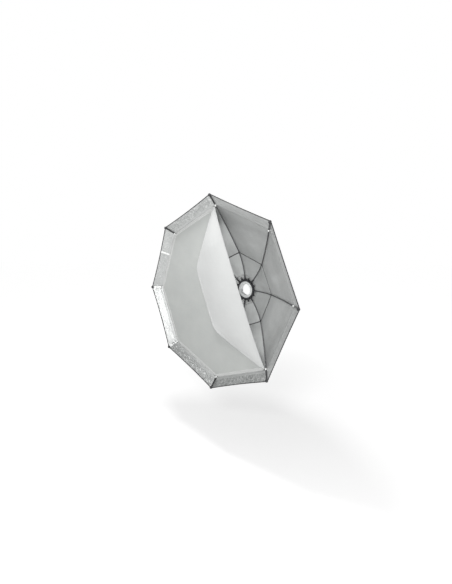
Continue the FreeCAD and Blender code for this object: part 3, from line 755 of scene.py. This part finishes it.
def corner_pocket(number):
    """The pouch over a rod's end, with a turned hem at its mouth, and the padded cap in the rim's corner."""
    azimuth = rod_azimuth(number)
    pouch_radius, mouth_run = 0.0049, 0.075
    path = []
    radii = []
    for run in spaced(-0.001, 0.079, 33):
        path.append(rod_point(azimuth, run))
        hem = 0.0009 * math.exp(-((run - mouth_run) / 0.004) ** 2)
        toe = 0.0016 * math.exp(-(run / 0.016) ** 2)
        radii.append(pouch_radius + hem + toe + 0.0002 * math.sin(run * 420 + number))
    pouch = tube(f"pouch_{number}", path, radii, NYLON, sides=16)
    profile = [
        (-0.0118, 0.0), (-0.0116, 0.0050), (-0.0106, 0.0084), (-0.0082, 0.0108), (-0.0050, 0.0118),
        (-0.0044, 0.0114), (-0.0036, 0.0118), (-0.0012, 0.0112), (0.0000, 0.0090), (0.0002, 0.0),
    ]
    centre = around(azimuth, ROD_TIP[0], CAP_Y)
    cap = lathe(f"corner_cap_{number}", profile, centre, Vector((0, 1, 0)), NYLON)
    attach(cap, "box")
    return attach(pouch, "box")


def band_on_rod(name, number, material, slot, run, length, radius):
    """A webbing loop round a rod, a little thicker at its two edges and in its middle."""
    azimuth = rod_azimuth(number)
    path = []
    radii = []
    for step in spaced(0.0, 1.0, 13):
        path.append(rod_point(azimuth, run + length * step, -0.0003))
        radii.append(radius + 0.0004 * math.cos(2 * math.pi * step) ** 2)
    return attach(tube(name, path, radii, material, sides=20), "box")


def shell():
    """Every fabric piece of the shell.

    The CAD node that holds all eight of a kind is hidden once, with the first gore.
    """
    for number in range(1, SIDES + 1):
        gore_panel(number, inner=False)
        gore_panel(number, inner=True)
        seam = tape_on_shell(f"seam_tape_{number}", number, SEAM, "black_nylon", **SEAM_TAPE)
        tape = tape_on_shell(f"loop_tape_{number}", number, LOOP_CLOTH, "white_cloth", **LOOP_TAPE)
        binding = rim_binding(number)
        ridge_seam(number)
        shell_stitches(number)
        pouch = corner_pocket(number)
        keeper = band_on_rod(f"keeper_{number}", number, BINDING, "black_nylon", **KEEPER)
        tab = band_on_rod(f"corner_tab_{number}", number, WEBBING, "white_cloth", **CORNER_TAB)
        if number == 1:
            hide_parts("rim_binding")
            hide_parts("mid_seam_tape")
            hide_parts("diffuser_loop_tape")
            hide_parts("corner_pockets")
            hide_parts("rod_keeper_loops")
            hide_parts("diffuser_corner_tabs")
    # On one gore only, as a painted highlight along its seam.
    tape_on_shell("seam_allowance_highlit", HIGHLIT_SEAM_GORE, PAINTED_SEAM_HIGHLIGHT, "white_cloth", **SEAM_ALLOWANCE_HIGHLIT)
    corner_strap(6)
    strap_loop(6)
    corner_strap(7)
    lip_tab(7, centre=-0.24)
    lip_eyelet(8, across=-0.27, run=0.044)


def rear_collar():
    """The gathered collar between the shell's octagonal end and the speedring, drawn in by its elastic.

    Each row is (radius or apothem, y, how octagonal it is, pleat depth).
    """
    rows = [
        (0.1330, -0.0407, 1.0, 0.0), (0.1222, -0.0381, 1.0, 0.0), (0.1185, -0.0370, 0.8, 0.0003),
        (0.1150, -0.0356, 0.6, 0.0005), (0.1080, -0.0326, 0.3, 0.0010), (0.1020, -0.0292, 0.1, 0.0014),
        (0.0970, -0.0256, 0.0, 0.0014), (0.0940, -0.0236, 0.0, 0.0010), (0.0916, -0.0220, 0.0, 0.0004),
        (0.0902, -0.0206, 0.0, 0.0001), (0.0914, -0.0190, 0.0, 0.0004), (0.0918, -0.0180, 0.0, 0.0006),
    ]
    pleats = 48
    turns = pleats * 6
    outset, thick = 0.0004, 0.0009
    turn_length, row_length = 0.0025, 0.006

    def sample(numbered_row, turn):
        n, (size, y, square, depth) = numbered_row
        a = 360.0 * turn / turns
        corner = 1 / math.cos(math.radians(a % STEP) - HALF)
        radius = size * (1 + square * (corner - 1))
        pleat = depth * math.cos(math.radians(a * pleats + 40 * math.sin(math.radians(5 * a))))
        return (
            around(a, radius, y + pleat),
            around(a, radius + outset, y + pleat + thick),
            (turn * turn_length, n * row_length),
        )

    inside, outside, uvs = sampled(list(enumerate(rows)), range(turns + 1), sample)
    obj = slab("gathered_collar", inside, outside, [SILVER, NYLON], uvs)
    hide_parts("rear_collar", "collar_cord")
    attach(obj, "box")


# ---------------------------------------------------------------- the diffuser

fold = next(joint for joint in frame["joints"] if joint["name"] == "flap_fold")
FOLD_Y = fold["pos_m"][1]
CREASE_OFF = math.hypot(fold["pos_m"][0], fold["pos_m"][2])
ALONG_CREASE = Vector(fold["axis"])
OFF_CREASE = Vector((fold["pos_m"][0], 0, fold["pos_m"][2])) / CREASE_OFF
FLAP_Y = 2 * FOLD_Y - PANEL_Y
CREASE_END_ANGLE = 3 * HALF
CREASE_END = (CHAMFER - CREASE_OFF * math.cos(CREASE_END_ANGLE)) / math.sin(CREASE_END_ANGLE)


def on_plane(along, off, y):
    """A point from its place along the crease's direction and off it, measured from the optical axis."""
    return ALONG_CREASE * along + OFF_CREASE * off + Vector((0, y, 0))


def edge_limits(along):
    """How far off the optical axis each side of the octagon is, on the flap's side, at a place along."""
    limits = []
    for k in range(-3, 4):
        reach = APOTHEM if k % 2 == 0 else CHAMFER
        limits.append((reach - along * math.sin(k * HALF)) / math.cos(k * HALF))
    return limits


def cut_edge(along):
    """How far off the optical axis the octagon's edge is, on the flap's side, at a place along the crease."""
    return min(edge_limits(along))


def rounded_edge(along, width):
    """The same edge with its corners rounded, as they curl over when a flap of that width is folded back."""
    softness = max(1e-6, CORNER_SOFTNESS * width)
    edge = cut_edge(along)
    total = sum(math.exp((edge - limit) / softness) for limit in edge_limits(along))
    return edge - softness * math.log(total)


def crease_line(along):
    """The crease's place off the axis: bowed a little, as cloth hangs."""
    return CREASE_OFF - CREASE_BOW * max(0.0, 1 - (along / CREASE_END) ** 4)


def panel_point(along, off):
    """The fixed panel's surface: billowed back a little, and gathered towards its corners."""
    reach = math.hypot(along, off) / APOTHEM
    billow = PANEL_BILLOW * max(0.0, 1 - reach * reach)
    gathers = 1 + math.sin(math.atan2(along, off) * 28 + 3 * reach)
    pull = PANEL_GATHER * gathers * reach ** 4
    drape = PANEL_DRAPE * (1 + ripple((along, off, 0), 6.0, 5.0)) * max(0.0, 1 - reach ** 4)
    give = 1.0
    if abs(along) < CREASE_END:
        give = 1 - math.exp(-(((crease_line(along) - off) / CREASE_STIFFNESS) ** 2))
    return on_plane(along, off, PANEL_Y + (billow + pull + drape) * give)


def inside_shell(along, laid, rise):
    """A folded place drawn in, so that once closed it is inside the shell, which narrows from its mouth."""
    off = 2 * CREASE_OFF - laid
    room = 1.0
    for k in range(2 * SIDES):
        reach = along * math.sin(k * HALF) + off * math.cos(k * HALF)
        if reach > 0.3:
            side = APOTHEM - SIDE_NARROWING * rise if k % 2 == 0 else CHAMFER - CORNER_NARROWING * rise
            room = min(room, side / reach)
    return along * room, 2 * CREASE_OFF - off * room


def flap_point(along, off):
    """The flap's surface, folded over: off is where the point is when the flap is closed."""
    crease, edge = crease_line(along), cut_edge(along)
    width = max(edge - crease, 1e-6)
    share = min(1.0, max(0.0, (off - crease) / width))
    laid = crease - share * max(0.0, crease - (2 * CREASE_OFF - rounded_edge(along, width)))
    size = min(1.0, width / FULL_BILLOW_WIDTH)
    rise = FLAP_BILLOW * size * math.sin(math.pi * share ** 0.75)
    rise += FLAP_DRAPE * size * (1 + ripple((along, off, 2.0), 7.0, 9.0)) * math.sin(math.pi * share)
    curls = []
    for side, height, reach in CORNER_CURLS:
        distance = math.hypot(along - side * APOTHEM * math.tan(HALF), off - APOTHEM)
        curls.append(height * math.exp(-((distance / reach) ** 2)))
    rise += sum(curls)
    rise += FLAP_EDGE_WAVE * share ** 6 * (1 + math.sin(along * 34)) * size
    return on_plane(*inside_shell(along, laid, rise), FLAP_Y - rise - FLAP_GAP)


def give_thickness(obj, thickness):
    """Makes a one-layer sheet a thin closed one, whose back face takes the second material."""
    solid = obj.modifiers.new("thickness", "SOLIDIFY")
    solid.thickness = thickness
    solid.offset = 0
    solid.material_offset = 1
    solid.use_even_offset = False
    graph = bpy.context.evaluated_depsgraph_get()
    mesh = bpy.data.meshes.new_from_object(obj.evaluated_get(graph))
    obj.modifiers.clear()
    obj.data = mesh


def diffuser_cloth():
    """The fixed panel and the flap, one cloth that turns over at the crease.

    Each row crosses the crease: the fixed panel's columns, then, where the row meets the flap, the turn's and
    the flap's.
    """
    ends = spaced(CREASE_END, APOTHEM - 0.0002, 3)[1:]
    rows = [-a for a in reversed(ends)] + spaced(-CREASE_END, CREASE_END, 97) + ends
    fixed_columns, turn_columns, flap_columns = 72, 5, 44
    verts = []
    uvs = []
    faces = []
    starts = []
    has_flap = []
    for along in rows:
        with_flap = abs(along) <= CREASE_END + 1e-9
        starts.append(len(verts))
        has_flap.append(with_flap)
        near = crease_line(along) if with_flap else cut_edge(along)
        for off in spaced(-cut_edge(along), near, fixed_columns):
            verts.append(panel_point(along, off))
            uvs.append((along, off))
        if not with_flap:
            continue
        for turn in spaced(80, -80, turn_columns):
            a = math.radians(turn)
            off = near + FOLD_RADIUS * math.cos(a)
            verts.append(on_plane(along, off, FOLD_Y + FOLD_RADIUS * math.sin(a)))
            uvs.append((along, near))
        for off in spaced(near, max(cut_edge(along), near + 1e-5), flap_columns):
            verts.append(flap_point(along, off))
            uvs.append((along, off))
    for i in range(len(rows) - 1):
        both = has_flap[i] and has_flap[i + 1]
        columns = fixed_columns + (turn_columns + flap_columns if both else 0)
        for j in range(columns - 1):
            a, b = starts[i] + j, starts[i + 1] + j
            faces.append((a, a + 1, b + 1, b))
    # The flap's face takes the lighter material: painted light for the doubled cloth, against the fixed
    # panel's painted shade.
    cloth = add_mesh("diffuser_cloth", verts, faces, [PANEL_CLOTH, FLAP_CLOTH], uvs=uvs, closed=False)
    give_thickness(cloth, PANEL_THICK)
    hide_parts("diffuser_panel", "flap_panel")
    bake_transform(cloth)


def hem_place(angle, inset):
    """A place in the hem, as (along, off), from its angle off the flap's direction and its inset."""
    a = math.radians(angle)
    reach = 2 * APOTHEM
    for k in range(2 * SIDES):
        facing = math.cos(a - k * HALF)
        if facing > 0.3:
            side = APOTHEM if k % 2 == 0 else CHAMFER + 0.012 * inset / HEM_WIDTH
            reach = min(reach, (side - inset) / facing)
    return reach * math.sin(a), reach * math.cos(a)


def hem_strip(name, first, last, surface, body, node, material):
    """A turned hem along part of the octagon's edge, between two angles, with its two rows of stitches."""
    insets = spaced(0.0, HEM_WIDTH, 6)
    half_thick = [0.0006] + [0.0010] * (len(insets) - 2) + [0.0006]
    angles = spaced(first, last, 181)
    forward = Vector((0, -1, 0))
    top = []
    bottom = []
    uvs = []
    length = 0.0
    for angle in angles:
        row = [surface(*hem_place(angle, inset)) for inset in insets]
        if top:
            length += (row[0] - bottom[-1][0]).length
        top.append([point + forward * t for point, t in zip(row, half_thick)])
        bottom.append([point - forward * t for point, t in zip(row, half_thick)])
        uvs.append([(length, inset) for inset in insets])
    hem = slab(name, top, bottom, [material], uvs)
    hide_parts(node)
    attach(hem, body)
    for number, inset in enumerate(HEM_STITCHES, start=1):
        path = [surface(*hem_place(angle, inset)) + forward * max(half_thick) for angle in angles]
        ups = [forward] * len(path)
        stitch_row(f"{name}_stitches_{number}", path, ups, WHITE_THREAD, body)


def diffuser():
    """The diffuser's cloth, and the hems of its two parts, which stop short of the crease."""
    diffuser_cloth()
    end = math.degrees(math.atan2(CREASE_END, CREASE_OFF))
    first = end + 0.3
    hem_strip("panel_hem", first, 360 - first, panel_point, "diffuser", "diffuser_hem", HEM_CLOTH)
    last = end - 1.5
    hem_strip("flap_edge_hem", -last, last, flap_point, "flap", "flap_hem", FLAP_HEM_CLOTH)


# ---------------------------------------------------------------- the hard parts

def hard_parts():
    """Finishes for the CAD nodes that stay."""
    finishes = {
        "mount_insert": INSERT,
        "speedring_body": CASTING,
        "retaining_ring": CASTING,
        "spare_sockets": CASTING,
        "retaining_screws": PLATED,
    }
    for number in range(1, SIDES + 1):
        finishes[f"rod_{number}"] = ROD
        finishes[f"rod_socket_{number}"] = CASTING
    for side in ("a", "b"):
        finishes[f"lock_knob_{side}"] = GRIP
        finishes[f"lock_stud_{side}"] = PLATED
        finishes[f"lock_washer_{side}"] = PLATED
    for node, material in finishes.items():
        obj = NODES[node]
        if not obj.material_slots:
            obj.data.materials.append(material)
        for slot in obj.material_slots:
            slot.material = material


# ---------------------------------------------------------------- the stage

def floor():
    """A pale floor well below the box, which glows more the further off it is."""
    signs = ((-1, -1), (1, -1), (1, 1), (-1, 1))
    corners = [Vector((x * FLOOR_HALF_SIZE, y * FLOOR_HALF_SIZE, FLOOR_Z)) for x, y in signs]
    material, nodes, links, shader = shader_nodes("floor")
    place = coordinates(nodes, "Object")
    grain = texture(nodes, links, place, "Noise", scale=3.0, Detail=3.0).outputs["Fac"]
    tone = ramp(nodes, links, grain, [(0, (0.93,) * 3), (1, (0.96,) * 3)])
    links.new(tone, shader.inputs["Base Color"])
    shader.inputs["Roughness"].default_value = 0.9
    shader.inputs["Emission Color"].default_value = (1, 1, 1, 1)
    distance = nodes.new("ShaderNodeVectorMath")
    distance.operation = "LENGTH"
    links.new(place, distance.inputs[0])
    glow = nodes.new("ShaderNodeMapRange")
    sockets = ("From Min", "From Max", "To Min", "To Max")
    for socket, value in zip(sockets, (*FLOOR_FADE, *FLOOR_GLOW)):
        glow.inputs[socket].default_value = value
    links.new(distance.outputs["Value"], glow.inputs["Value"])
    links.new(glow.outputs["Result"], shader.inputs["Emission Strength"])
    add_mesh("floor", corners, [(0, 1, 2, 3)], [material])


def studio_world():
    """A soft fill from all round, which the camera sees as plain white."""
    world = bpy.data.worlds.new("studio")
    world.use_nodes = True
    nodes = world.node_tree.nodes
    links = world.node_tree.links
    background = nodes["Background"]
    background.inputs["Color"].default_value = (1, 1, 1, 1)
    seen = nodes.new("ShaderNodeLightPath").outputs["Is Camera Ray"]
    strength = nodes.new("ShaderNodeMath")
    strength.operation = "MULTIPLY_ADD"
    links.new(seen, strength.inputs[0])
    strength.inputs[1].default_value = 1 - FILL
    strength.inputs[2].default_value = FILL
    links.new(strength.outputs["Value"], background.inputs["Strength"])
    bpy.context.scene.world = world


def aim(obj, place, target):
    """Puts an object in the scene at a place, looking at a target."""
    obj.location = place
    obj.rotation_euler = (Vector(target) - Vector(place)).to_track_quat("-Z", "Y").to_euler()
    bpy.context.scene.collection.objects.link(obj)


def area_light(name, place, target, size, power):
    light = bpy.data.lights.new(name, "AREA")
    light.shape = "DISK"
    light.size = size
    light.energy = power
    obj = bpy.data.objects.new(name, light)
    aim(obj, place, target)
    return obj


def lights():
    """A key light, one from above, and the light that comes into the box through its cloth."""
    area_light("key", (1.44, -2.56, 0.97), (0, -0.4, 0), size=0.8, power=KEY_POWER)
    area_light("top", (-0.2, -0.9, 1.9), (0.3, -0.25, -0.35), size=0.5, power=TOP_POWER)
    through = area_light("through_cloth", (0, -0.350, 0), (0, 0, 0), size=0.9, power=THROUGH_POWER)
    through.visible_camera = False


def camera():
    data = bpy.data.cameras.new("camera")
    data.lens = CAMERA_LENS
    data.sensor_width = 36
    obj = bpy.data.objects.new("camera", data)
    place = CAMERA_TARGET + CAMERA_DISTANCE * Vector((
        math.sin(CAMERA_AZIMUTH) * math.cos(CAMERA_ELEVATION),
        -math.cos(CAMERA_AZIMUTH) * math.cos(CAMERA_ELEVATION),
        math.sin(CAMERA_ELEVATION),
    ))
    aim(obj, place, CAMERA_TARGET)
    bpy.context.scene.camera = obj


def stage():
    floor()
    studio_world()
    lights()
    camera()
    bpy.context.scene.view_settings.view_transform = "Standard"


shell()
rear_collar()
diffuser()
hard_parts()
stage()
